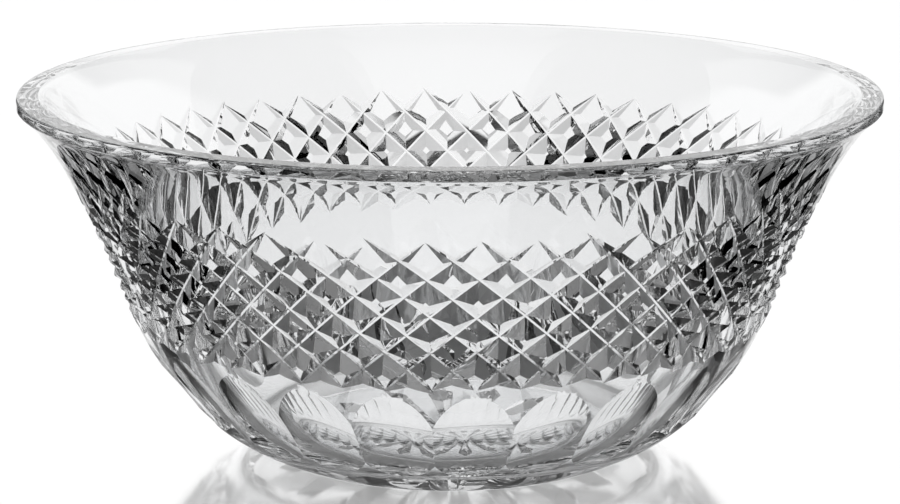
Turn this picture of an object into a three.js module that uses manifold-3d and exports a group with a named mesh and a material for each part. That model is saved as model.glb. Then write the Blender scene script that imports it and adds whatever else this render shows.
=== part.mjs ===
// Cut crystal bowl with a flared lip, a band of diamond cutting, a row of oval cuts and a star-cut base.
// It is one piece of glass. Millimetres and degrees, +Z up, origin at the centre of the base.

import * as THREE from 'three';
import { mergeVertices } from 'three/addons/utils/BufferGeometryUtils.js';
import Module from 'manifold-3d';

// Lip
const HEIGHT = 108; // base to the flat of the lip
const RIM_RADIUS = 127; // widest point, on the face of the lip
const LIP_WIDTH = 6.9; // from the face to the inner edge
const LIP_FACE = 3.4; // height of the face, roundings included
const LIP_ROUND = 0.9; // rounding of its upper edge
const LIP_EASE = 0.5; // easing of its lower and inner edges

// Wall: a belly below the waist, and a flare above it.
// Each pull is how far a curve keeps its end direction.
const FLARE = 27.5; // how far the lip stands out past the waist
const FLARE_PULL = 40;
const LIP_ANGLE = 40; // outer wall under the lip, above level
const LIP_PULL = 7;
const WAIST_HEIGHT = 54;
const WAIST_ANGLE = 69.5; // outer wall at the waist, above level
const BELLY_PULL = 47;
const WALL = 10.5; // thickness at the waist before cutting
const MOUTH_ANGLE = 44; // inner wall at the lip, above level
const MOUTH_PULL = 4;
const INSIDE_FLARE_PULL = 42.5;
const INSIDE_BELLY_PULL = 32;

// Base
const BASE_RADIUS = 53; // flat ring that the bowl stands on
const BASE_ANGLE = 24; // outer wall at the base, above level
const BASE_PULL = 11;
const FLOOR = 11; // glass over the base
const FLOOR_REACH = 5; // how far the flat inside reaches past the edge of the base
const FLOOR_PULL = 9;

// Diamond band: two sets of slanting mitre grooves that leave four-sided points between them
const DIAMOND_COUNT = 48;
const BAND_LOW = 40.6; // height of the lower groove ends
const BAND_HIGH = 86.3; // height of the upper groove ends
const HALF_ROWS = 8; // half diamonds from the lower ends to the upper ends, an even number
const ROW_SPREAD = 2; // power of the wall's radius by which the rows widen upwards
const GROOVE_DEPTH = 3.3; // along the middle of a groove
const LOW_LIFT = 2; // half rows over which the wheel comes in at the lower ends
const HIGH_LIFT = 3.6; // half rows over which it lifts off at the upper ends
const BORDER_DIP = 0.4; // where the border dips between two groove ends, as a share of a half row

// Ovals: hollows of a round-edged wheel, each touching the next
const OVAL_COUNT = 24;
const OVAL_TOP_GAP = 2.2; // height left plain between their upper ends and the band
const OVAL_FOOT = 9.3; // height of their lower ends
const WHEEL_EDGE_RADIUS = 40; // across the oval
const WHEEL_RADIUS = 300; // along the oval

// Star in the base: mitre cuts that taper towards the middle
const STAR_RAY_COUNT = 16;
const STAR_RADIUS = 46;
const STAR_DEPTH = 4.5;
const STAR_RAY_WIDTH = 8;
const STAR_SWELL = 0.85; // where a ray is widest, as a share of its length from the middle
const STAR_EYE = 2; // radius of the plain spot in the middle

// Fineness of the curves
const BELLY_STEPS = 5;
const SHOULDER_STEPS = 3;
const LIP_STEPS = 1;
const INSIDE_BELLY_STEPS = 8;
const INSIDE_FLARE_STEPS = 4;
const WHEEL_SIDES = 72;
const WELD = 1e-4;
const SHARE_TOLERANCE = 1e-9;
const SPREAD_STEPS = 200;

const COLUMNS = 2 * DIAMOND_COUNT;

const wasm = await Module();
wasm.setup();

// A direction in the profile plane, from its angle above level.
function slope(degrees) {
  const angle = THREE.MathUtils.degToRad(degrees);
  return new THREE.Vector2(Math.cos(angle), Math.sin(angle));
}

// A curve of the profile that leaves start and reaches end in the given directions.
function sweep(start, startAngle, startPull, end, endAngle, endPull) {
  const leave = start.clone().addScaledVector(slope(startAngle), startPull);
  const arrive = end.clone().addScaledVector(slope(endAngle), -endPull);
  return new THREE.CubicBezierCurve(start, leave, arrive, end);
}

// The outer wall of the uncut bowl, from the base to the face of the lip, as radius and height.
function outerWall() {
  const base = new THREE.Vector2(BASE_RADIUS, 0);
  const waist = new THREE.Vector2(RIM_RADIUS - FLARE, WAIST_HEIGHT);
  const lip = new THREE.Vector2(RIM_RADIUS - LIP_EASE, HEIGHT - LIP_FACE);
  const wall = new THREE.CurvePath();
  wall.add(sweep(base, BASE_ANGLE, BASE_PULL, waist, WAIST_ANGLE, BELLY_PULL));
  wall.add(sweep(waist, WAIST_ANGLE, FLARE_PULL, lip, LIP_ANGLE, LIP_PULL));
  return wall;
}

// The inner wall, from the edge of the lip down to the edge of the flat floor.
function innerWall() {
  const inward = slope(WAIST_ANGLE + 90).multiplyScalar(WALL);
  const waist = new THREE.Vector2(RIM_RADIUS - FLARE, WAIST_HEIGHT).add(inward);
  const mouth = new THREE.Vector2(RIM_RADIUS - LIP_WIDTH, HEIGHT - LIP_EASE);
  const floor = new THREE.Vector2(BASE_RADIUS + FLOOR_REACH, FLOOR);
  const belly = sweep(floor, 0, FLOOR_PULL, waist, WAIST_ANGLE, INSIDE_BELLY_PULL);
  const flare = sweep(waist, WAIST_ANGLE, INSIDE_FLARE_PULL, mouth, MOUTH_ANGLE, MOUTH_PULL);
  return [
    ...flare.getPoints(INSIDE_FLARE_STEPS).reverse(),
    ...belly.getPoints(INSIDE_BELLY_STEPS).reverse().slice(1),
  ];
}

const WALL_CURVE = outerWall();

// How far along the outer wall a height is reached, as a share of its length.
function shareAt(height) {
  let low = 0;
  let high = 1;
  while (high - low > SHARE_TOLERANCE) {
    const middle = (low + high) / 2;
    if (WALL_CURVE.getPointAt(middle).y < height) low = middle;
    else high = middle;
  }
  return low;
}

// A point of the outer wall, set in by depth along the wall's own normal.
function wallPoint(share, depth = 0) {
  const along = WALL_CURVE.getTangentAt(share);
  const inward = new THREE.Vector2(-along.y, along.x);
  return WALL_CURVE.getPointAt(share).addScaledVector(inward, depth);
}

// Running sums up the band that grow more slowly where the wall is wider.
function bandSpreads() {
  const low = shareAt(BAND_LOW);
  const step = (shareAt(BAND_HIGH) - low) / SPREAD_STEPS;
  const spreads = [0];
  for (let count = 0; count < SPREAD_STEPS; count += 1) {
    const radius = WALL_CURVE.getPointAt(low + step * (count + 0.5)).x;
    spreads.push(spreads[count] + radius ** -ROW_SPREAD);
  }
  return spreads;
}

const BAND_SPREADS = bandSpreads();

// How far along the outer wall a place counted in half rows up the band lies. The rows widen upwards.
function rowShare(row) {
  const spread = (BAND_SPREADS[SPREAD_STEPS] * row) / HALF_ROWS;
  const below = Math.min(BAND_SPREADS.findLastIndex((value) => value <= spread), SPREAD_STEPS - 1);
  const part = (spread - BAND_SPREADS[below]) / (BAND_SPREADS[below + 1] - BAND_SPREADS[below]);
  const low = shareAt(BAND_LOW);
  return low + ((shareAt(BAND_HIGH) - low) * (below + part)) / SPREAD_STEPS;
}

// Depth of a groove at a place counted in half rows, as the wheel comes in and lifts off.
function grooveDepth(row) {
  const coming = Math.max((LOW_LIFT - row) / LOW_LIFT, 0);
  const lifting = Math.max((row - HALF_ROWS + HIGH_LIFT) / HIGH_LIFT, 0);
  return GROOVE_DEPTH * (1 - coming ** 2 - lifting ** 2);
}

// The rings of the diamond band, upwards. A point whose column and row make an even sum is a groove
// crossing, or a groove's end on the border, and one with an odd sum is the tip of a diamond.
function bandRings() {
  const rings = [];
  for (let row = 0; row <= HALF_ROWS; row += 1) {
    const crossing = wallPoint(rowShare(row), grooveDepth(row));
    let tipRow = row;
    if (row === 0) tipRow += BORDER_DIP;
    if (row === HALF_ROWS) tipRow -= BORDER_DIP;
    const tip = wallPoint(rowShare(tipRow));
    rings.push(row % 2 === 0 ? [crossing, tip] : [tip, crossing]);
  }
  return rings;
}

// Rings between two shares of the outer wall, both ends left out.
function plainRings(from, to, steps) {
  const rings = [];
  for (let step = 1; step < steps; step += 1) {
    const point = wallPoint(from + ((to - from) * step) / steps);
    rings.push([point, point]);
  }
  return rings;
}

// The lip's profile, from the top of the outer wall to just short of the inner edge.
function lipRings() {
  const lip = new THREE.Path();
  lip.moveTo(RIM_RADIUS - LIP_EASE, HEIGHT - LIP_FACE);
  lip.lineTo(RIM_RADIUS, HEIGHT - LIP_FACE + LIP_EASE);
  lip.lineTo(RIM_RADIUS, HEIGHT - LIP_ROUND);
  lip.absarc(RIM_RADIUS - LIP_ROUND, HEIGHT - LIP_ROUND, LIP_ROUND, 0, Math.PI / 2);
  lip.lineTo(RIM_RADIUS - LIP_WIDTH + LIP_EASE, HEIGHT);
  const points = lip.getPoints(LIP_STEPS);
  return points.map((point) => [point, point]);
}

// The uncut inside and the diamond-cut outside as one closed skin. Each ring gives the radius and height
// of its even and its odd columns.
function diamondCutBlank() {
  const baseRing = wallPoint(0);
  const low = shareAt(BAND_LOW);
  const high = shareAt(BAND_HIGH);
  const rings = [
    [baseRing, baseRing],
    ...plainRings(0, low, BELLY_STEPS),
    ...bandRings(),
    ...plainRings(high, 1, SHOULDER_STEPS),
    ...lipRings(),
    ...innerWall().map((point) => [point, point]),
  ];
  const bandStart = BELLY_STEPS;
  const positions = [];
  for (const ring of rings) {
    for (let column = 0; column < COLUMNS; column += 1) {
      const { x: radius, y: height } = ring[column % 2];
      const angle = (column / COLUMNS) * 2 * Math.PI - Math.PI / 2;
      positions.push(radius * Math.cos(angle), radius * Math.sin(angle), height);
    }
  }
  const underside = positions.length / 3;
  positions.push(0, 0, 0);
  const floor = underside + 1;
  positions.push(0, 0, FLOOR);

  const index = [];
  const at = (row, column) => row * COLUMNS + (column % COLUMNS);
  for (let row = 0; row < rings.length - 1; row += 1) {
    for (let column = 0; column < COLUMNS; column += 1) {
      const a = at(row, column);
      const b = at(row, column + 1);
      const c = at(row + 1, column + 1);
      const d = at(row + 1, column);
      const rising = (row - bandStart + column) % 2 === 0;
      if (rising) index.push(a, b, c, a, c, d);
      else index.push(a, b, d, b, c, d);
    }
  }
  const top = rings.length - 1;
  for (let column = 0; column < COLUMNS; column += 1) {
    index.push(underside, at(0, column + 1), at(0, column));
    index.push(floor, at(top, column), at(top, column + 1));
  }
  const geometry = new THREE.BufferGeometry();
  geometry.setAttribute('position', new THREE.Float32BufferAttribute(positions, 3));
  geometry.setIndex(index);
  return geometry;
}

// The end of the wheel that hollows the oval at the given turn round the bowl. It meets the wall at the
// oval's upper and lower ends, so its depth follows from the wheel and the wall.
function ovalCutter(turn) {
  const upper = wallPoint(shareAt(BAND_LOW - OVAL_TOP_GAP));
  const lower = wallPoint(shareAt(OVAL_FOOT));
  const middle = upper.clone().add(lower).divideScalar(2);
  const along = upper.clone().sub(lower).normalize();
  const out = new THREE.Vector2(along.y, -along.x);
  const halfLength = Math.sqrt(WHEEL_RADIUS * WHEEL_EDGE_RADIUS);
  const endShare = upper.distanceTo(lower) / 2 / halfLength;
  const standOff = WHEEL_EDGE_RADIUS * Math.sqrt(1 - endShare ** 2);
  const centre = middle.addScaledVector(out, standOff);
  const wheel = new THREE.SphereGeometry(1, WHEEL_SIDES, WHEEL_SIDES / 2);
  wheel.scale(WHEEL_EDGE_RADIUS, WHEEL_EDGE_RADIUS, halfLength);
  const place = new THREE.Matrix4().makeBasis(
    new THREE.Vector3(out.x, 0, out.y),
    new THREE.Vector3(0, 1, 0),
    new THREE.Vector3(along.x, 0, along.y),
  );
  place.setPosition(centre.x, 0, centre.y);
  wheel.applyMatrix4(place);
  wheel.rotateZ(turn);
  return wheel;
}

// One ray of the star: a slender double pyramid half sunk in the base.
function starCutter(turn) {
  const length = STAR_RADIUS - STAR_EYE;
  const taper = length * STAR_SWELL;
  const ray = new THREE.OctahedronGeometry(1);
  const corners = ray.attributes.position;
  for (let corner = 0; corner < corners.count; corner += 1) {
    const end = corners.getX(corner);
    corners.setX(corner, end < 0 ? end * taper : end * (length - taper));
  }
  ray.scale(1, STAR_RAY_WIDTH / 2, STAR_DEPTH);
  ray.translate(STAR_EYE + taper, 0, 0);
  ray.rotateZ(turn);
  return ray;
}

// A closed geometry as a solid that can be cut.
function solid(geometry) {
  geometry.deleteAttribute('normal');
  geometry.deleteAttribute('uv');
  const welded = mergeVertices(geometry, WELD);
  const vertProperties = welded.attributes.position.array;
  const triVerts = Uint32Array.from(welded.index.array);
  return new wasm.Manifold(new wasm.Mesh({ numProp: 3, vertProperties, triVerts }));
}

// A solid as a geometry again.
function skin(body) {
  const mesh = body.getMesh();
  const geometry = new THREE.BufferGeometry();
  geometry.setAttribute('position', new THREE.Float32BufferAttribute(mesh.vertProperties, 3));
  geometry.setIndex(Array.from(mesh.triVerts));
  geometry.computeVertexNormals();
  return geometry;
}

// Turns that spread a number of cuts evenly, the first of them at the front.
function turnsOf(count) {
  return Array.from({ length: count }, (_, cut) => (cut / count) * 2 * Math.PI - Math.PI / 2);
}

function cutBowl() {
  let body = solid(diamondCutBlank());
  for (const turn of turnsOf(OVAL_COUNT)) body = body.subtract(solid(ovalCutter(turn)));
  for (const turn of turnsOf(STAR_RAY_COUNT)) body = body.subtract(solid(starCutter(turn)));
  return skin(body);
}

const crystal = new THREE.MeshStandardMaterial({ color: 0xf4f6f7, roughness: 0.03, metalness: 0 });

const bowl = new THREE.Mesh(cutBowl(), crystal);
bowl.name = 'bowl';

const crystalBowl = new THREE.Group();
crystalBowl.add(bowl);

export default crystalBowl;
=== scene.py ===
"""Cut crystal bowl on a studio table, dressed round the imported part."""

import math

import bmesh
import bpy
import numpy as np
from bpy.props import FloatProperty, FloatVectorProperty, IntProperty, PointerProperty
from mathutils import Matrix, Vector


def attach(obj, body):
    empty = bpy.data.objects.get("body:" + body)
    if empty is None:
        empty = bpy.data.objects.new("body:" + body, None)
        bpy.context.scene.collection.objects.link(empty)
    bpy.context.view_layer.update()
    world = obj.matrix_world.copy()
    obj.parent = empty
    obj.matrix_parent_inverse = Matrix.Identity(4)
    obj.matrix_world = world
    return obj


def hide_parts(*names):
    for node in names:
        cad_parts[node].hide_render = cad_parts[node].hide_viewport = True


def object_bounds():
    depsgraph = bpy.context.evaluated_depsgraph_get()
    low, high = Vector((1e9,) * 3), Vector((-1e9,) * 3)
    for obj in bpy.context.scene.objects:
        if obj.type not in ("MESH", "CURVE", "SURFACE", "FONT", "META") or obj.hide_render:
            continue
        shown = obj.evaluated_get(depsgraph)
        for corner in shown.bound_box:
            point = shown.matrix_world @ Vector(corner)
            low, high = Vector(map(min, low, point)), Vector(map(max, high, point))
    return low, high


bl_info = {
    "name": "Cut Crystal Bowl",
    "version": (1, 0, 0),
    "blender": (4, 5, 0),
    "location": "View3D > Sidebar > Crystal",
    "description": "Builds a wheel-cut crystal bowl and the table it stands on",
    "category": "Add Mesh",
}

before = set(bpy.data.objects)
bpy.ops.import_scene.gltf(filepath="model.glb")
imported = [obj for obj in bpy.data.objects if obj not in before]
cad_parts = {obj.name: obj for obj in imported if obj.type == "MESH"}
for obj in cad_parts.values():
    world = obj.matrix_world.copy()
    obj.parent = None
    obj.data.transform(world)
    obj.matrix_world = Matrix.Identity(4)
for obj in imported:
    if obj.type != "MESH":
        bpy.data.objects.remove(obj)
CAD_LOW, CAD_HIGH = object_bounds()

# Fineness of the meshes
WALL_STEPS = 2000
OUTER_STEPS = 72
ROUNDING_STEPS = 10
INSIDE_BELLY_STEPS = 40
INSIDE_FLARE_STEPS = 30
COLUMNS = 384
GROOVE_STEPS = 4  # places along a groove in each half row
WHEEL_SUBDIVISIONS = 6
SHARE_STEP = 1e-4
SHARP_ANGLE = math.radians(16)

# Groove cutters
GROOVE_CORNERS = 4
OVERRUN = 0.4  # half rows that a cutter runs past the band at each end
CLEARANCE = 0.002  # metres that a cutter stands out of the wall
FLOOR_GAIN = 3  # a groove's flat bottom has its full width from a third of its depth on
FLOOR_LEAST = 0.05  # share of the flat bottom left where the wheel lifts off
END_STRAY = 0.1  # half rows that a groove's ends stray
DEPTH_STRAY = 0.5  # how far its depth strays, as a share of the hand's stray

# Crystal
WAVE_DETAIL = 2
CORD_DETAIL = 1
CORD_TWIST = 1.5

# Studio
WHITE = (1, 1, 1, 1)
TABLE_GREY = (0.35, 0.35, 0.35, 1)
TABLE_ROUGHNESS = 0.6
TABLE_REACH = 6  # metres from its middle to its edges
GLOSS_START = 0.3  # from 0 straight down to 1 along the table
GLOSS_FULL = 0.8
GLOSS_LEAST = 0.02
SIDE_START = 0.5  # from 0 straight ahead to 1 straight to the side
SIDE_FULL = 0.7
NOT_MIRRORED = 0.5  # between no mirroring and the first
ONE_WALL = 2.5  # between the second skin of crystal and the third
SENSOR_WIDTH = 36.0
CAMERA_FAR = 100
BOUNCES = 32
GLOSSY_BOUNCES = 16


class BowlShape(bpy.types.PropertyGroup):
    """Sizes of the blank, before it is cut."""

    height: FloatProperty(
        name="Height", description="Base to the flat of the lip",
        default=CAD_HIGH.z, unit="LENGTH",
    )
    rim_radius: FloatProperty(
        name="Rim radius", description="Widest point, on the face of the lip",
        default=CAD_HIGH.x, unit="LENGTH",
    )
    lip_width: FloatProperty(
        name="Lip width", description="Face of the lip to its inner edge",
        default=0.0069, unit="LENGTH",
    )
    lip_face: FloatProperty(
        name="Lip face", description="Height of the face of the lip",
        default=0.0034, unit="LENGTH",
    )
    lip_round: FloatProperty(
        name="Lip rounding", description="Rounding of the lip's upper edge",
        default=0.0009, unit="LENGTH",
    )
    lip_ease: FloatProperty(
        name="Lip easing", description="Easing of the lip's other edges",
        default=0.0005, unit="LENGTH",
    )
    flare: FloatProperty(
        name="Flare", description="How far the lip stands out past the waist",
        default=0.0275, unit="LENGTH",
    )
    flare_pull: FloatProperty(
        name="Flare pull", description="How far the flare keeps the waist's direction",
        default=0.040, unit="LENGTH",
    )
    lip_angle: FloatProperty(
        name="Lip angle", description="Outer wall under the lip, above level",
        default=math.radians(40), unit="ROTATION",
    )
    lip_pull: FloatProperty(
        name="Lip pull", description="How far the wall keeps the lip's direction",
        default=0.007, unit="LENGTH",
    )
    waist_height: FloatProperty(
        name="Waist height", description="Height where the belly turns into the flare",
        default=0.054, unit="LENGTH",
    )
    waist_angle: FloatProperty(
        name="Waist angle", description="Outer wall at the waist, above level",
        default=math.radians(69.5), unit="ROTATION",
    )
    belly_pull: FloatProperty(
        name="Belly pull", description="How far the belly keeps the waist's direction",
        default=0.047, unit="LENGTH",
    )
    wall: FloatProperty(
        name="Wall", description="Thickness of the wall before cutting",
        default=0.0105, unit="LENGTH",
    )
    mouth_angle: FloatProperty(
        name="Mouth angle", description="Inner wall at the lip, above level",
        default=math.radians(44), unit="ROTATION",
    )
    mouth_pull: FloatProperty(
        name="Mouth pull", description="How far the inner wall keeps the mouth's direction",
        default=0.004, unit="LENGTH",
    )
    inside_flare_pull: FloatProperty(
        name="Inside flare pull", description="How far the inner flare keeps the waist's direction",
        default=0.0425, unit="LENGTH",
    )
    inside_belly_pull: FloatProperty(
        name="Inside belly pull", description="How far the inner belly keeps the waist's direction",
        default=0.032, unit="LENGTH",
    )
    base_radius: FloatProperty(
        name="Base radius", description="Flat that the bowl stands on",
        default=0.053, unit="LENGTH",
    )
    base_angle: FloatProperty(
        name="Base angle", description="Outer wall at the base, above level",
        default=math.radians(24), unit="ROTATION",
    )
    base_pull: FloatProperty(
        name="Base pull", description="How far the belly keeps the base's direction",
        default=0.011, unit="LENGTH",
    )
    floor: FloatProperty(
        name="Floor", description="Glass over the base",
        default=0.011, unit="LENGTH",
    )
    floor_reach: FloatProperty(
        name="Floor reach", description="How far the flat inside reaches past the base's edge",
        default=0.005, unit="LENGTH",
    )
    floor_pull: FloatProperty(
        name="Floor pull", description="How far the inner belly keeps the floor's direction",
        default=0.009, unit="LENGTH",
    )


class BowlCuts(bpy.types.PropertyGroup):
    """Sizes of the cutting."""

    diamonds: IntProperty(
        name="Diamonds", description="Diamonds round the band",
        default=48,
    )
    half_rows: IntProperty(
        name="Half rows", description="Half diamonds up the band",
        default=8,
    )
    band_low: FloatProperty(
        name="Band low", description="Height of the lower groove ends",
        default=0.0406, unit="LENGTH",
    )
    band_high: FloatProperty(
        name="Band high", description="Height of the upper groove ends",
        default=0.0863, unit="LENGTH",
    )
    groove_depth: FloatProperty(
        name="Groove depth", description="Depth of the mitre grooves along their middle",
        default=0.0033, unit="LENGTH",
    )
    groove_pitch: FloatProperty(
        name="Groove pitch", description="How steeply a groove's sides rise from the wall",
        default=math.radians(37.5), unit="ROTATION",
    )
    groove_floor: FloatProperty(
        name="Groove floor", description="Width of the flat bottom of a groove",
        default=0.0006, unit="LENGTH",
    )
    row_spread: FloatProperty(
        name="Row spread", description="Power of the wall's radius by which the rows widen upwards",
        default=2,
    )
    lift_low: FloatProperty(
        name="Low lift", description="Half rows over which the wheel comes in at the lower ends",
        default=2,
    )
    lift_high: FloatProperty(
        name="High lift", description="Half rows over which the wheel lifts off at the upper ends",
        default=3.6,
    )
    ovals: IntProperty(
        name="Ovals", description="Oval hollows round the belly",
        default=24,
    )
    oval_top_gap: FloatProperty(
        name="Oval gap", description="Height left plain under the band",
        default=0.0022, unit="LENGTH",
    )
    oval_foot: FloatProperty(
        name="Oval foot", description="Height of the ovals' lower ends",
        default=0.0093, unit="LENGTH",
    )
    wheel_edge_radius: FloatProperty(
        name="Wheel edge", description="Radius of the hollow across the oval",
        default=0.040, unit="LENGTH",
    )
    wheel_radius: FloatProperty(
        name="Wheel", description="Radius of the hollow along the oval",
        default=0.300, unit="LENGTH",
    )
    star_rays: IntProperty(
        name="Star rays", description="Rays of the star in the base",
        default=16,
    )
    star_radius: FloatProperty(
        name="Star radius", description="Outer ends of the rays",
        default=0.046, unit="LENGTH",
    )
    star_eye: FloatProperty(
        name="Star eye", description="Radius of the plain spot in the middle",
        default=0.002, unit="LENGTH",
    )
    star_depth: FloatProperty(
        name="Star depth", description="Depth of a ray where it is widest",
        default=0.0045, unit="LENGTH",
    )
    star_ray_width: FloatProperty(
        name="Star ray width", description="Width of a ray where it is widest",
        default=0.008, unit="LENGTH",
    )
    star_swell: FloatProperty(
        name="Star swell", description="Where a ray is widest, as a share of its length from the eye",
        default=0.85,
    )
    hand: FloatProperty(
        name="Hand", description="How far a groove strays from its even place",
        default=0.0002, unit="LENGTH",
    )
    hand_lean: FloatProperty(
        name="Hand lean", description="How far the wheel leans to one side in a groove",
        default=math.radians(1.5), unit="ROTATION",
    )
    seed: IntProperty(
        name="Seed", description="Which hand cut it",
        default=7,
    )


class CrystalFinish(bpy.types.PropertyGroup):
    """Colour and polish of the crystal."""

    colour: FloatVectorProperty(
        name="Colour", description="Colour of the clear crystal",
        default=(0.99, 0.995, 1.0), subtype="COLOR",
    )
    cord: FloatProperty(
        name="Cord", description="How much the clearness varies along the melt's cords",
        default=0.015,
    )
    cord_size: FloatProperty(
        name="Cord size", description="Spacing of the cords",
        default=0.03, unit="LENGTH",
    )
    index: FloatProperty(
        name="Index", description="Refractive index of lead crystal",
        default=1.545,
    )
    swell: FloatProperty(
        name="Swell", description="Height of the slow waves in the blown skin",
        default=4e-6, unit="LENGTH",
    )
    swell_size: FloatProperty(
        name="Swell size", description="Spacing of those waves",
        default=0.009, unit="LENGTH",
    )
    ripple: FloatProperty(
        name="Ripple", description="Height of the ripple that polishing leaves in the cuts",
        default=1.2e-6, unit="LENGTH",
    )
    ripple_size: FloatProperty(
        name="Ripple size", description="Spacing of that ripple",
        default=0.0016, unit="LENGTH",
    )


class Studio(bpy.types.PropertyGroup):
    """Table, light and camera round the bowl."""

    table_white: FloatProperty(
        name="Table white", description="How white the table looks from above",
        default=1.2,
    )
    table_gap: FloatProperty(
        name="Table gap", description="Air that the base's high spots leave over the table",
        default=5e-5, unit="LENGTH",
    )
    # Painted light and shade on the table, seen only through the crystal: it glows at Table light, with
    # painted shade below
    table_light: FloatProperty(
        name="Table light", description="How bright the table looks through the crystal",
        default=0.93,
    )
    # Painted shadow: the table's glow is dimmed to this under and before the bowl, not shaded by any lamp
    shade: FloatProperty(
        name="Shade", description="How bright the table is where the bowl shades it",
        default=0.08,
    )
    shade_front: FloatProperty(
        name="Shade front", description="Where the shade is full, from the bowl's axis towards the backdrop",
        default=-0.03, unit="LENGTH",
    )
    shade_back: FloatProperty(
        name="Shade back", description="Where the shade ends, from the bowl's axis towards the backdrop",
        default=0.12, unit="LENGTH",
    )
    shade_end: FloatProperty(
        name="Shade end", description="Where the shade starts to fade before the bowl, on the same line",
        default=-0.12, unit="LENGTH",
    )
    # Painted shade: the cards cast no shadow, so the table's glow is darkened near them
    painted_card_shade_reach: FloatProperty(
        name="Card shade reach", description="How far from a card the table is darkened by it",
        default=0.05, unit="LENGTH",
    )
    table_gloss: FloatProperty(
        name="Table gloss", description="Share of the light that the lacquer mirrors at a low angle",
        default=0.85,
    )
    table_blur: FloatProperty(
        name="Table blur", description="Roughness of the lacquer as the camera sees it",
        default=0.12,
    )
    backdrop_white: FloatProperty(
        name="Backdrop", description="Brightness of the white round the table",
        default=0.96,
    )
    backdrop_top: FloatProperty(
        name="Backdrop top", description="Upper edge of the white round the table, above level",
        default=math.radians(24), unit="ROTATION",
    )
    backdrop_side_top: FloatProperty(
        name="Backdrop side top", description="Upper edge of the white to both sides, above level",
        default=math.radians(36), unit="ROTATION",
    )
    backdrop_edge: FloatProperty(
        name="Backdrop edge", description="How softly the white ends",
        default=math.radians(3), unit="ROTATION",
    )
    ceiling: FloatProperty(
        name="Ceiling", description="Brightness of the dark overhead",
        default=0.01,
    )
    fill: FloatProperty(
        name="Fill", description="Brightness of the soft light on the camera's side",
        default=0.63,
    )
    fill_height: FloatProperty(
        name="Fill height", description="Middle of the soft light, above level",
        default=math.radians(35), unit="ROTATION",
    )
    fill_reach: FloatProperty(
        name="Fill reach", description="How far the soft light reaches round its middle",
        default=math.radians(36), unit="ROTATION",
    )
    fill_edge: FloatProperty(
        name="Fill edge", description="How softly the soft light ends",
        default=math.radians(22), unit="ROTATION",
    )
    card_gap: FloatProperty(
        name="Card gap", description="Axis of the bowl to each dark card",
        default=0.142, unit="LENGTH",
    )
    card_spread: FloatProperty(
        name="Card spread", description="How far each card turns away behind the bowl",
        default=math.radians(16), unit="ROTATION",
    )
    card_front: FloatProperty(
        name="Card front", description="Reach of the cards towards the camera",
        default=0.38, unit="LENGTH",
    )
    card_front_spread: FloatProperty(
        name="Card front spread", description="How far each card turns away in front of the bowl",
        default=math.radians(12), unit="ROTATION",
    )
    card_back: FloatProperty(
        name="Card back", description="Reach of the cards behind the bowl",
        default=0.5, unit="LENGTH",
    )
    card_tall: FloatProperty(
        name="Card height", description="Height of the cards beside and before the bowl",
        default=0.5, unit="LENGTH",
    )
    card_step: FloatProperty(
        name="Card step", description="Where the cards step down, behind the bowl's axis",
        default=0.1, unit="LENGTH",
    )
    card_back_tall: FloatProperty(
        name="Card back height", description="Height of the cards behind that step",
        default=0.14, unit="LENGTH",
    )
    card_end_tall: FloatProperty(
        name="Card end height", description="Height of the cards at their far ends",
        default=0.02, unit="LENGTH",
    )
    card_shade: FloatProperty(
        name="Card shade", description="Brightness of the cards",
        default=0.0,
    )
    camera_reach: FloatProperty(
        name="Focal length", description="Focal length of the lens in picture widths",
        default=3.516,
    )
    camera_away: FloatProperty(
        name="Camera distance", description="Axis of the bowl to the camera",
        default=0.921, unit="LENGTH",
    )
    camera_height: FloatProperty(
        name="Camera height", description="Camera above the table",
        default=0.267, unit="LENGTH",
    )
    camera_pitch: FloatProperty(
        name="Camera pitch", description="How far the camera looks down",
        default=math.radians(12.78), unit="ROTATION",
    )
    camera_swing: FloatProperty(
        name="Camera swing", description="Camera's place round the bowl, from the front to the left",
        default=math.radians(4.3), unit="ROTATION",
    )


def slope(angle):
    """A direction in the profile plane, from its angle above level."""
    return np.array((math.cos(angle), math.sin(angle)))


def sweep(start, start_angle, start_pull, end, end_angle, end_pull, steps):
    """Points of a curve that leaves start and reaches end in the given directions."""
    start, end = np.array(start), np.array(end)
    leave = start + slope(start_angle) * start_pull
    arrive = end - slope(end_angle) * end_pull
    gone = np.linspace(0, 1, steps + 1)[:, None]
    left = 1 - gone
    return left**3 * start + 3 * left**2 * gone * leave + 3 * left * gone**2 * arrive + gone**3 * end


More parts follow.
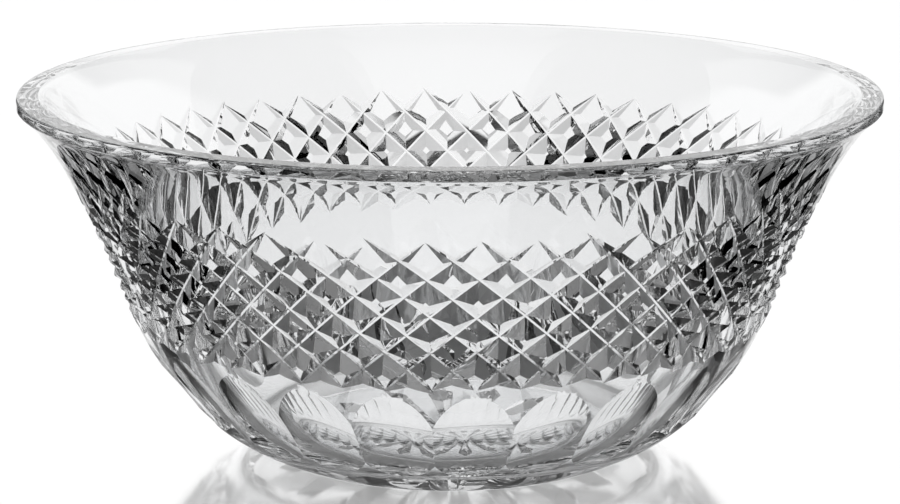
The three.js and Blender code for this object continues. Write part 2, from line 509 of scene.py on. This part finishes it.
class WallCurve:
    """The outer wall of the blank, by the share of its length from the base to the lip."""

    def __init__(self, shape):
        base = (shape.base_radius, 0)
        waist = (shape.rim_radius - shape.flare, shape.waist_height)
        lip = (shape.rim_radius - shape.lip_ease, shape.height - shape.lip_face)
        belly = sweep(
            base, shape.base_angle, shape.base_pull,
            waist, shape.waist_angle, shape.belly_pull, WALL_STEPS,
        )
        flare = sweep(
            waist, shape.waist_angle, shape.flare_pull,
            lip, shape.lip_angle, shape.lip_pull, WALL_STEPS,
        )
        self.points = np.vstack((belly, flare[1:]))
        steps = np.linalg.norm(np.diff(self.points, axis=0), axis=1)
        run = np.concatenate(((0,), np.cumsum(steps)))
        self.shares = run / run[-1]

    def at(self, share):
        """Radius and height at a share."""
        return np.array([np.interp(share, self.shares, self.points[:, axis]) for axis in (0, 1)]).T

    def outward(self, share):
        """Direction straight out of the wall at a share."""
        along = self.at(np.minimum(share + SHARE_STEP, 1)) - self.at(np.maximum(share - SHARE_STEP, 0))
        along = along / np.linalg.norm(along, axis=-1, keepdims=True)
        return np.stack((along[..., 1], -along[..., 0]), axis=-1)

    def share_at(self, height):
        """Share where the wall reaches a height."""
        return float(np.interp(height, self.points[:, 1], self.shares))

    def row_shares(self, cuts, rows):
        """Shares of places counted in half rows up the band, which widen as the wall does."""
        radii = (self.points[1:, 0] + self.points[:-1, 0]) / 2
        spread = np.concatenate(((0,), np.cumsum(np.diff(self.shares) / radii**cuts.row_spread)))
        low, high = np.interp((cuts.band_low, cuts.band_high), self.points[:, 1], spread)
        return np.interp(low + (high - low) * rows / cuts.half_rows, spread, self.shares)


def profile(shape, wall):
    """The blank's outline, from the edge of the base over the lip to the edge of the flat floor."""
    outer = wall.at(np.linspace(0, 1, OUTER_STEPS + 1))
    rim, top = shape.rim_radius, shape.height
    turn = np.linspace(0, math.pi / 2, ROUNDING_STEPS + 1)
    rounding = np.stack(
        (rim - shape.lip_round * (1 - np.cos(turn)), top - shape.lip_round * (1 - np.sin(turn))), axis=1
    )
    face = [(rim, top - shape.lip_face + shape.lip_ease)]
    edge = [(rim - shape.lip_width + shape.lip_ease, top)]
    inward = slope(shape.waist_angle + math.pi / 2) * shape.wall
    waist = np.array((rim - shape.flare, shape.waist_height)) + inward
    mouth = (rim - shape.lip_width, top - shape.lip_ease)
    floor_edge = (shape.base_radius + shape.floor_reach, shape.floor)
    belly = sweep(
        floor_edge, 0, shape.floor_pull,
        waist, shape.waist_angle, shape.inside_belly_pull, INSIDE_BELLY_STEPS,
    )
    flare = sweep(
        waist, shape.waist_angle, shape.inside_flare_pull,
        mouth, shape.mouth_angle, shape.mouth_pull, INSIDE_FLARE_STEPS,
    )
    return np.vstack((outer, face, rounding, edge, flare[::-1], belly[-2::-1]))


def turned(points):
    """Vertices of the rings that a profile's points make round the axis, ring by ring, from the front."""
    angle = np.linspace(0, 2 * math.pi, COLUMNS, endpoint=False) - math.pi / 2
    rings = np.stack(
        (
            points[:, None, 0] * np.cos(angle),
            points[:, None, 0] * np.sin(angle),
            np.repeat(points[:, 1:2], COLUMNS, axis=1),
        ),
        axis=2,
    )
    return rings.reshape(-1, 3)


def ring_faces(rings, columns):
    """Four-sided faces between rings of vertices."""
    faces = []
    for ring in range(rings - 1):
        low, high = ring * columns, (ring + 1) * columns
        for column in range(columns):
            after = (column + 1) % columns
            faces.append((low + column, low + after, high + after, high + column))
    return faces


def new_object(name, vertices, faces, material):
    """An object of the given vertices and faces, linked to the scene."""
    mesh = bpy.data.meshes.new(name)
    mesh.from_pydata([tuple(vertex) for vertex in vertices], [], faces)
    mesh.materials.append(material)
    mesh.validate()
    mesh.update()
    piece = bpy.data.objects.new(name, mesh)
    bpy.context.scene.collection.objects.link(piece)
    return piece


def blank(shape, wall, material):
    """The uncut bowl as a closed skin."""
    points = profile(shape, wall)
    vertices = turned(points)
    faces = ring_faces(len(points), COLUMNS)
    middle = len(vertices)
    vertices = np.vstack((vertices, (0, 0, shape.floor)))
    last = (len(points) - 1) * COLUMNS
    faces.append(tuple(range(COLUMNS - 1, -1, -1)))
    for column in range(COLUMNS):
        faces.append((last + column, last + (column + 1) % COLUMNS, middle))
    return new_object("crystal_bowl", vertices, faces, material)


def cutter_object(name, edit, material):
    """A cutter whose finish the cut faces take over."""
    mesh = bpy.data.meshes.new(name)
    edit.to_mesh(mesh)
    edit.free()
    mesh.materials.append(material)
    return bpy.data.objects.new(name, mesh)


def groove_depths(cuts, rows, low_end, high_end):
    """Depth of a groove at places counted in half rows, as the wheel comes in and lifts off."""
    lifting = np.maximum((rows - (high_end - cuts.lift_high)) / cuts.lift_high, 0)
    coming = np.maximum((low_end + cuts.lift_low - rows) / cuts.lift_low, 0)
    return cuts.groove_depth * (1 - lifting**2 - coming**2)


def groove_line(wall, cuts, rows, start, lean, turn_stray):
    """Places of a groove on the uncut wall, with the directions out of the wall and across the groove."""
    columns = 2 * cuts.diamonds
    turns = (start + lean * rows) / columns * 2 * math.pi - math.pi / 2 + turn_stray
    radial = np.stack((np.cos(turns), np.sin(turns), np.zeros_like(turns)), axis=1)
    upright = np.array((0, 0, 1))
    shares = wall.row_shares(cuts, rows)
    places, normals = wall.at(shares), wall.outward(shares)
    middle = radial * places[:, :1] + upright * places[:, 1:]
    outward = radial * normals[:, :1] + upright * normals[:, 1:]
    across = np.cross(outward, np.gradient(middle, axis=0))
    across /= np.linalg.norm(across, axis=1, keepdims=True)
    return middle, outward, across


def groove_section(cuts, depth, lean_stray):
    """Corners of the mitre wheel's rim at one place, as distances across the groove and out of the wall."""
    half_floor = cuts.groove_floor / 2 * np.clip(FLOOR_GAIN * depth / cuts.groove_depth, FLOOR_LEAST, 1)
    left, rise, right = (math.tan(cuts.groove_pitch + tilt) for tilt in (-lean_stray, 0, lean_stray))
    bottom = half_floor * rise - depth
    top = CLEARANCE + 2 * max(0, bottom)
    return (
        (-half_floor, bottom),
        (half_floor, bottom),
        (half_floor + (top - bottom) / right, top),
        (-half_floor - (top - bottom) / left, top),
    )


def groove_cutter(wall, cuts, start, lean, strays, material):
    """The rim of the mitre wheel along one groove, which leans to one side as it climbs."""
    turn_stray, low_stray, high_stray, depth_stray, lean_stray = strays
    rows = np.linspace(-OVERRUN, cuts.half_rows + OVERRUN, GROOVE_STEPS * (cuts.half_rows + 1))
    depths = groove_depths(cuts, rows, low_stray, cuts.half_rows + high_stray) + depth_stray
    corners = []
    for place, out, side, depth in zip(*groove_line(wall, cuts, rows, start, lean, turn_stray), depths):
        section = groove_section(cuts, depth, lean_stray)
        corners += [place + side * width + out * height for width, height in section]
    last = len(corners) - 1
    faces = [range(GROOVE_CORNERS), range(last, last - GROOVE_CORNERS, -1)]
    faces += ring_faces(len(rows), GROOVE_CORNERS)
    edit = bmesh.new()
    made = [edit.verts.new(corner) for corner in corners]
    for face in faces:
        edit.faces.new([made[number] for number in face])
    bmesh.ops.recalc_face_normals(edit, faces=edit.faces)
    return cutter_object("groove_cutter", edit, material)


def groove_cutters(wall, cuts, material):
    """Both sets of grooves, each groove a little off its even place as a hand leaves it."""
    hand = np.random.default_rng(cuts.seed)
    middle_radius = wall.at(0.5)[0]
    cutters = []
    for lean in (1, -1):
        for number in range(cuts.diamonds):
            turn_stray = hand.normal(0, cuts.hand / middle_radius)
            end_strays = hand.normal(0, END_STRAY, 2)
            depth_stray = hand.normal(0, cuts.hand * DEPTH_STRAY)
            lean_stray = hand.normal(0, cuts.hand_lean)
            strays = (turn_stray, *end_strays, depth_stray, lean_stray)
            cutters.append(groove_cutter(wall, cuts, 2 * number, lean, strays, material))
    return cutters


def oval_cutter(wall, cuts, turn, material):
    """The end of the wheel that hollows one oval."""
    upper = wall.at(wall.share_at(cuts.band_low - cuts.oval_top_gap))
    lower = wall.at(wall.share_at(cuts.oval_foot))
    along = (upper - lower) / np.linalg.norm(upper - lower)
    out = np.array((along[1], -along[0]))
    half_length = math.sqrt(cuts.wheel_radius * cuts.wheel_edge_radius)
    end_share = np.linalg.norm(upper - lower) / 2 / half_length
    centre = (upper + lower) / 2 + out * cuts.wheel_edge_radius * math.sqrt(1 - end_share**2)
    place = Matrix(
        (
            (out[0], 0, along[0], centre[0]),
            (0, 1, 0, 0),
            (out[1], 0, along[1], centre[1]),
            (0, 0, 0, 1),
        )
    )
    size = Matrix.Diagonal((cuts.wheel_edge_radius, cuts.wheel_edge_radius, half_length, 1))
    edit = bmesh.new()
    bmesh.ops.create_icosphere(edit, subdivisions=WHEEL_SUBDIVISIONS, radius=1)
    edit.transform(Matrix.Rotation(turn, 4, "Z") @ place @ size)
    return cutter_object("oval_cutter", edit, material)


def star_cutter(cuts, turn, material):
    """One ray of the star, a slender double pyramid half sunk in the base."""
    middle = cuts.star_eye + (cuts.star_radius - cuts.star_eye) * cuts.star_swell
    wide = cuts.star_ray_width / 2
    edit = bmesh.new()
    ends = [edit.verts.new((reach, 0, 0)) for reach in (cuts.star_eye, cuts.star_radius)]
    sides = [edit.verts.new((middle, sign * wide, 0)) for sign in (-1, 1)]
    depths = [edit.verts.new((middle, 0, sign * cuts.star_depth)) for sign in (-1, 1)]
    for end in ends:
        for side in sides:
            for depth in depths:
                edit.faces.new((end, side, depth))
    bmesh.ops.recalc_face_normals(edit, faces=edit.faces)
    edit.transform(Matrix.Rotation(turn, 4, "Z"))
    return cutter_object("star_cutter", edit, material)


def even_turns(count):
    """Turns that spread a number of cuts evenly, the first of them at the front."""
    return [number / count * 2 * math.pi - math.pi / 2 for number in range(count)]


def bake_modifiers(piece):
    """Puts what the piece's modifiers make into its mesh."""
    graph = bpy.context.evaluated_depsgraph_get()
    baked = bpy.data.meshes.new_from_object(
        piece.evaluated_get(graph), preserve_all_data_layers=True, depsgraph=graph
    )
    plain = piece.data
    piece.modifiers.clear()
    piece.data = baked
    bpy.data.meshes.remove(plain)
    baked.name = piece.name


def cut(piece, cutters):
    """Takes the cutters away from the piece, and shades each cut face apart from its neighbours."""
    tray = bpy.data.collections.new("cutters")
    bpy.context.scene.collection.children.link(tray)
    for cutter in cutters:
        tray.objects.link(cutter)
    boolean = piece.modifiers.new("cuts", "BOOLEAN")
    boolean.operation = "DIFFERENCE"
    boolean.operand_type = "COLLECTION"
    boolean.collection = tray
    boolean.solver = "MANIFOLD"
    boolean.material_mode = "TRANSFER"
    uncut_faces = len(piece.data.polygons)
    bake_modifiers(piece)
    if len(piece.data.polygons) <= uncut_faces:
        raise RuntimeError("the cutters left no cuts in " + piece.name)
    for cutter in cutters:
        bpy.data.objects.remove(cutter)
    bpy.data.collections.remove(tray)
    mesh = piece.data
    mesh.polygons.foreach_set("use_smooth", np.ones(len(mesh.polygons), bool))
    mesh.set_sharp_from_angle(angle=SHARP_ANGLE)
    weighted = piece.modifiers.new("normals", "WEIGHTED_NORMAL")
    weighted.keep_sharp = True
    bake_modifiers(piece)


def math_node(nodes, links, operation, *values):
    """The result of one operation on sockets or plain numbers."""
    node = nodes.new("ShaderNodeMath")
    node.operation = operation
    for socket, value in zip(node.inputs, values):
        if isinstance(value, bpy.types.NodeSocket):
            links.new(value, socket)
        else:
            socket.default_value = value
    return node.outputs[0]


def soft_step(nodes, links, value, start, end, before, after):
    """A value that goes smoothly from before to after between start and end."""
    node = nodes.new("ShaderNodeMapRange")
    node.interpolation_type = "SMOOTHSTEP"
    for name, number in (("From Min", start), ("From Max", end), ("To Min", before), ("To Max", after)):
        node.inputs[name].default_value = number
    links.new(value, node.inputs["Value"])
    return node.outputs["Result"]


def noise(nodes, links, place, scale, detail):
    """A noise texture fixed to the object."""
    node = nodes.new("ShaderNodeTexNoise")
    node.inputs["Detail"].default_value = detail
    links.new(place.outputs["Object"], node.inputs["Vector"])
    links.new(scale, node.inputs["Scale"])
    return node


def hand_polish():
    """Node group that gives the height of a polished skin and the tint of the melt under it."""
    group = bpy.data.node_groups.new("hand_polish", "ShaderNodeTree")
    for name in ("Wave Scale", "Cord Scale", "Cord"):
        group.interface.new_socket(name, in_out="INPUT", socket_type="NodeSocketFloat")
    group.interface.new_socket("Colour", in_out="INPUT", socket_type="NodeSocketColor")
    group.interface.new_socket("Height", in_out="OUTPUT", socket_type="NodeSocketFloat")
    group.interface.new_socket("Tint", in_out="OUTPUT", socket_type="NodeSocketColor")
    nodes, links = group.nodes, group.links
    given = nodes.new("NodeGroupInput")
    result = nodes.new("NodeGroupOutput")
    place = nodes.new("ShaderNodeTexCoord")
    waves = noise(nodes, links, place, given.outputs["Wave Scale"], WAVE_DETAIL)
    links.new(waves.outputs["Fac"], result.inputs["Height"])
    cords = noise(nodes, links, place, given.outputs["Cord Scale"], CORD_DETAIL)
    cords.inputs["Distortion"].default_value = CORD_TWIST
    loss = math_node(nodes, links, "MULTIPLY", cords.outputs["Fac"], given.outputs["Cord"])
    clear = math_node(nodes, links, "SUBTRACT", 1, loss)
    tint = nodes.new("ShaderNodeVectorMath")
    tint.operation = "SCALE"
    links.new(given.outputs["Colour"], tint.inputs[0])
    links.new(clear, tint.inputs["Scale"])
    links.new(tint.outputs["Vector"], result.inputs["Tint"])
    return group


def new_material(name):
    """A material, with its nodes and links."""
    material = bpy.data.materials.new(name)
    material.use_nodes = True
    return material, material.node_tree.nodes, material.node_tree.links


def crystal_material(name, finish, polish, wave, wave_size):
    """Clear lead crystal with the faint waves of one kind of polish."""
    material, nodes, links = new_material(name)
    shader = nodes["Principled BSDF"]
    shader.inputs["Roughness"].default_value = 0.0
    shader.inputs["IOR"].default_value = finish.index
    shader.inputs["Transmission Weight"].default_value = 1.0
    skin = nodes.new("ShaderNodeGroup")
    skin.node_tree = polish
    skin.inputs["Wave Scale"].default_value = 1 / wave_size
    skin.inputs["Cord Scale"].default_value = 1 / finish.cord_size
    skin.inputs["Cord"].default_value = finish.cord
    skin.inputs["Colour"].default_value = (*finish.colour, 1)
    bump = nodes.new("ShaderNodeBump")
    bump.inputs["Distance"].default_value = wave
    links.new(skin.outputs["Height"], bump.inputs["Height"])
    links.new(bump.outputs["Normal"], shader.inputs["Normal"])
    links.new(skin.outputs["Tint"], shader.inputs["Base Color"])
    return material


class CRYSTAL_OT_bowl(bpy.types.Operator):
    """Builds the cut crystal bowl"""

    bl_idname = "crystal.bowl"
    bl_label = "Cut Crystal Bowl"

    def execute(self, context):
        shape = context.scene.bowl_shape
        cuts = context.scene.bowl_cuts
        finish = context.scene.crystal_finish
        wall = WallCurve(shape)
        polish = hand_polish()
        polished = crystal_material("crystal_polished", finish, polish, finish.swell, finish.swell_size)
        facet = crystal_material("crystal_cut", finish, polish, finish.ripple, finish.ripple_size)
        piece = blank(shape, wall, polished)
        cutters = groove_cutters(wall, cuts, facet)
        cutters += [oval_cutter(wall, cuts, turn, facet) for turn in even_turns(cuts.ovals)]
        cutters += [star_cutter(cuts, turn, facet) for turn in even_turns(cuts.star_rays)]
        cut(piece, cutters)
        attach(piece, "root")
        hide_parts("bowl")
        return {"FINISHED"}


def light_rays(nodes, links, *kinds):
    """A mask of the named kinds of ray."""
    rays = nodes.new("ShaderNodeLightPath")
    mask = rays.outputs[kinds[0]]
    for kind in kinds[1:]:
        mask = math_node(nodes, links, "MAXIMUM", mask, rays.outputs[kind])
    return mask


def mirrored_rays(nodes, links):
    """A mask of the rays that were mirrored on their way."""
    rays = nodes.new("ShaderNodeLightPath")
    return math_node(nodes, links, "GREATER_THAN", rays.outputs["Glossy Depth"], NOT_MIRRORED)


def rays_past_one_wall(nodes, links):
    """A mask of the rays that went through more skins of crystal than the two of one wall."""
    rays = nodes.new("ShaderNodeLightPath")
    return math_node(nodes, links, "GREATER_THAN", rays.outputs["Transmission Depth"], ONE_WALL)


def table_glow_with_painted_shade(nodes, links, studio):
    """Brightness of the table to the crystal, with painted shade in its glow: a painted shadow before and
    under the bowl, and painted shade by the cards, which cast no shadow.

    To rays that were not mirrored, the painted shadow fades out again further before the bowl.
    """
    place = nodes.new("ShaderNodeTexCoord")
    split = nodes.new("ShaderNodeSeparateXYZ")
    links.new(place.outputs["Object"], split.inputs[0])
    back = split.outputs["Y"]
    # Painted shadow of the bowl: the glow is dimmed in front of and under the bowl and rises behind it
    shade = soft_step(
        nodes, links, back, studio.shade_front, studio.shade_back, studio.shade, studio.table_light
    )
    # Painted shade by the cards: the glow fades out towards each card
    aside = math_node(nodes, links, "ABSOLUTE", split.outputs["X"])
    card = math_node(nodes, links, "MULTIPLY_ADD", back, math.tan(studio.card_spread), studio.card_gap)
    clear = math_node(nodes, links, "SUBTRACT", card, aside)
    clear_of_painted_card_shade = soft_step(nodes, links, clear, 0, studio.painted_card_shade_reach, 0, 1)
    glow_with_painted_shadow = math_node(nodes, links, "MULTIPLY", shade, clear_of_painted_card_shade)
    # Further before the bowl the painted shadow fades out again, for rays that were not mirrored
    painted_shade_gone = studio.shade_end - studio.shade_back
    before = soft_step(nodes, links, back, painted_shade_gone, studio.shade_end, studio.table_light, 0)
    straight = math_node(nodes, links, "SUBTRACT", 1, mirrored_rays(nodes, links))
    seen_before = math_node(nodes, links, "MULTIPLY", before, straight)
    return math_node(nodes, links, "MAXIMUM", glow_with_painted_shadow, seen_before)


def table_lacquer(studio):
    """Pale lacquer over white, which mirrors more the lower it is looked along."""
    material, nodes, links = new_material("table_lacquer")
    white = nodes["Principled BSDF"]
    white.inputs["Base Color"].default_value = TABLE_GREY
    white.inputs["Roughness"].default_value = TABLE_ROUGHNESS
    white.inputs["Emission Color"].default_value = WHITE
    camera = light_rays(nodes, links, "Is Camera Ray")
    crystal = light_rays(nodes, links, "Is Glossy Ray", "Is Transmission Ray")
    # To the crystal the table glows with painted shade: a painted shadow of the bowl and painted shade by the
    # cards; to the camera it glows evenly white
    seen_through = table_glow_with_painted_shade(nodes, links, studio)
    through = math_node(nodes, links, "MULTIPLY", crystal, seen_through)
    glow = math_node(nodes, links, "MULTIPLY_ADD", camera, studio.table_white, through)
    links.new(glow, white.inputs["Emission Strength"])
    mirror = nodes.new("ShaderNodeBsdfGlossy")
    mirror.inputs["Color"].default_value = WHITE
    blur = math_node(nodes, links, "MULTIPLY", camera, studio.table_blur)
    links.new(blur, mirror.inputs["Roughness"])
    facing = nodes.new("ShaderNodeLayerWeight").outputs["Facing"]
    share = soft_step(nodes, links, facing, GLOSS_START, GLOSS_FULL, GLOSS_LEAST, studio.table_gloss)
    both = nodes.new("ShaderNodeMixShader")
    links.new(share, both.inputs["Fac"])
    links.new(white.outputs[0], both.inputs[1])
    links.new(mirror.outputs[0], both.inputs[2])
    links.new(both.outputs[0], nodes["Material Output"].inputs["Surface"])
    return material


def table_top(studio):
    """The table, square to the camera."""
    corners = [
        (x * TABLE_REACH, y * TABLE_REACH, 0) for x, y in ((-1, -1), (1, -1), (1, 1), (-1, 1))
    ]
    table = new_object("table", corners, [(0, 1, 2, 3)], table_lacquer(studio))
    table.location.z = -studio.table_gap
    table.rotation_euler.z = -studio.camera_swing


def card_black(name, studio, mirrored_only):
    """Dark to mirrored rays out of the crystal, or also to those past one wall, and clear to all others."""
    material, nodes, links = new_material(name)
    nodes.remove(nodes["Principled BSDF"])
    dark = nodes.new("ShaderNodeEmission")
    dark.inputs["Strength"].default_value = studio.card_shade
    clear = nodes.new("ShaderNodeBsdfTransparent")
    both = nodes.new("ShaderNodeMixShader")
    bent = mirrored_rays(nodes, links)
    if not mirrored_only:
        bent = math_node(nodes, links, "MAXIMUM", bent, rays_past_one_wall(nodes, links))
    acting = math_node(nodes, links, "MULTIPLY", light_rays(nodes, links, "Is Singular Ray"), bent)
    links.new(acting, both.inputs["Fac"])
    links.new(clear.outputs[0], both.inputs[1])
    links.new(dark.outputs[0], both.inputs[2])
    links.new(both.outputs[0], nodes["Material Output"].inputs["Surface"])
    return material


def dark_cards(studio):
    """Cards that stand just out of the picture and draw the dark lines in the cutting."""
    before = card_black("card_before", studio, True)
    behind = card_black("card_behind", studio, False)
    low, high, end = studio.card_back_tall, studio.card_tall, studio.card_end_tall
    step, away = studio.card_step, studio.card_spread
    cards = (
        ("front", before, ((-studio.card_front, -studio.card_front_spread, high), (0, 0, high))),
        ("middle", behind, ((0, 0, high), (step, away, high))),
        ("back", behind, ((step, away, low), (studio.card_back, away, end))),
    )
    for name, material, ends in cards:
        for side_name, side in (("left", -1), ("right", 1)):
            corners = []
            for reach, spread, tall in ends:
                out = side * (studio.card_gap + reach * math.tan(spread))
                corners += [(out, reach, 0), (out, reach, tall)]
            card = new_object(f"card_{name}_{side_name}", corners, [(0, 2, 3, 1)], material)
            card.rotation_euler.z = -studio.camera_swing
            card.visible_camera = False


def white_ring(nodes, links, direction, studio):
    """White round the table up to a soft edge, which rises to both sides, and dark overhead."""
    split = nodes.new("ShaderNodeSeparateXYZ")
    links.new(direction, split.inputs[0])
    low, high = studio.backdrop_top - studio.backdrop_edge, studio.backdrop_top + studio.backdrop_edge
    sideways = math_node(nodes, links, "ABSOLUTE", split.outputs["X"])
    raised = math.sin(studio.backdrop_side_top) - math.sin(studio.backdrop_top)
    rise = soft_step(nodes, links, sideways, SIDE_START, SIDE_FULL, 0, raised)
    level = math_node(nodes, links, "SUBTRACT", split.outputs["Z"], rise)
    return soft_step(
        nodes, links, level, math.sin(low), math.sin(high), studio.backdrop_white, studio.ceiling
    )


def soft_fill(nodes, links, direction, studio):
    """A soft round light on the camera's side."""
    up, swing = studio.fill_height, studio.camera_swing
    towards = nodes.new("ShaderNodeVectorMath")
    towards.operation = "DOT_PRODUCT"
    towards.inputs[1].default_value = (
        -math.cos(up) * math.sin(swing), -math.cos(up) * math.cos(swing), math.sin(up)
    )
    links.new(direction, towards.inputs[0])
    inner, outer = studio.fill_reach - studio.fill_edge, studio.fill_reach + studio.fill_edge
    return soft_step(nodes, links, towards.outputs["Value"], math.cos(outer), math.cos(inner), 0, studio.fill)


def studio_world(scene, studio):
    """The light all round: the white ring and the soft fill, whichever is brighter."""
    world = bpy.data.worlds.new("studio")
    world.use_nodes = True
    scene.world = world
    nodes, links = world.node_tree.nodes, world.node_tree.links
    direction = nodes.new("ShaderNodeTexCoord").outputs["Generated"]
    ring = white_ring(nodes, links, direction, studio)
    fill = soft_fill(nodes, links, direction, studio)
    both = math_node(nodes, links, "MAXIMUM", ring, fill)
    links.new(both, nodes["Background"].inputs["Strength"])
    nodes["Background"].inputs["Color"].default_value = WHITE


def photo_camera(scene, studio):
    """The photograph's view."""
    camera = bpy.data.cameras.new("photo_camera")
    camera.sensor_width = SENSOR_WIDTH
    camera.lens = SENSOR_WIDTH * studio.camera_reach
    camera.clip_end = CAMERA_FAR
    holder = bpy.data.objects.new("photo_camera", camera)
    scene.collection.objects.link(holder)
    away, swing = studio.camera_away, studio.camera_swing
    holder.location = (-away * math.sin(swing), -away * math.cos(swing), studio.camera_height)
    holder.rotation_euler = (math.pi / 2 - studio.camera_pitch, 0, -swing)
    scene.camera = holder


class CRYSTAL_OT_stage(bpy.types.Operator):
    """Sets up the table, the light and the camera"""

    bl_idname = "crystal.stage"
    bl_label = "Table, Light and Camera"

    def execute(self, context):
        scene = context.scene
        if "crystal_bowl" not in bpy.data.objects:
            raise RuntimeError("the stage is set round the bowl, so the bowl comes first")
        studio = scene.bowl_studio
        scene.view_settings.view_transform = "Standard"
        scene.cycles.max_bounces = BOUNCES
        scene.cycles.transmission_bounces = BOUNCES
        scene.cycles.glossy_bounces = GLOSSY_BOUNCES
        table_top(studio)
        dark_cards(studio)
        studio_world(scene, studio)
        photo_camera(scene, studio)
        return {"FINISHED"}


class CRYSTAL_PT_panel(bpy.types.Panel):
    """Lists what the bowl's scene is built from"""

    bl_label = "Cut Crystal Bowl"
    bl_idname = "CRYSTAL_PT_panel"
    bl_space_type = "VIEW_3D"
    bl_region_type = "UI"
    bl_category = "Crystal"

    def draw(self, context):
        scene = context.scene
        for operator, groups in (
            (CRYSTAL_OT_bowl, (scene.bowl_shape, scene.bowl_cuts, scene.crystal_finish)),
            (CRYSTAL_OT_stage, (scene.bowl_studio,)),
        ):
            box = self.layout.box()
            box.operator(operator.bl_idname)
            for group in groups:
                for name in group.__annotations__:
                    box.prop(group, name)


CLASSES = (BowlShape, BowlCuts, CrystalFinish, Studio, CRYSTAL_OT_bowl, CRYSTAL_OT_stage, CRYSTAL_PT_panel)


def register():
    """Makes the classes and the scene's settings known."""
    for kind in CLASSES:
        bpy.utils.register_class(kind)
    bpy.types.Scene.bowl_shape = PointerProperty(type=BowlShape)
    bpy.types.Scene.bowl_cuts = PointerProperty(type=BowlCuts)
    bpy.types.Scene.crystal_finish = PointerProperty(type=CrystalFinish)
    bpy.types.Scene.bowl_studio = PointerProperty(type=Studio)


def unregister():
    """Takes the scene's settings and the classes away again."""
    del bpy.types.Scene.bowl_studio
    del bpy.types.Scene.crystal_finish
    del bpy.types.Scene.bowl_cuts
    del bpy.types.Scene.bowl_shape
    for kind in reversed(CLASSES):
        bpy.utils.unregister_class(kind)


def main():
    """Builds the bowl and its stage."""
    register()
    bpy.ops.crystal.bowl()
    bpy.ops.crystal.stage()


if __name__ == "__main__":
    main()
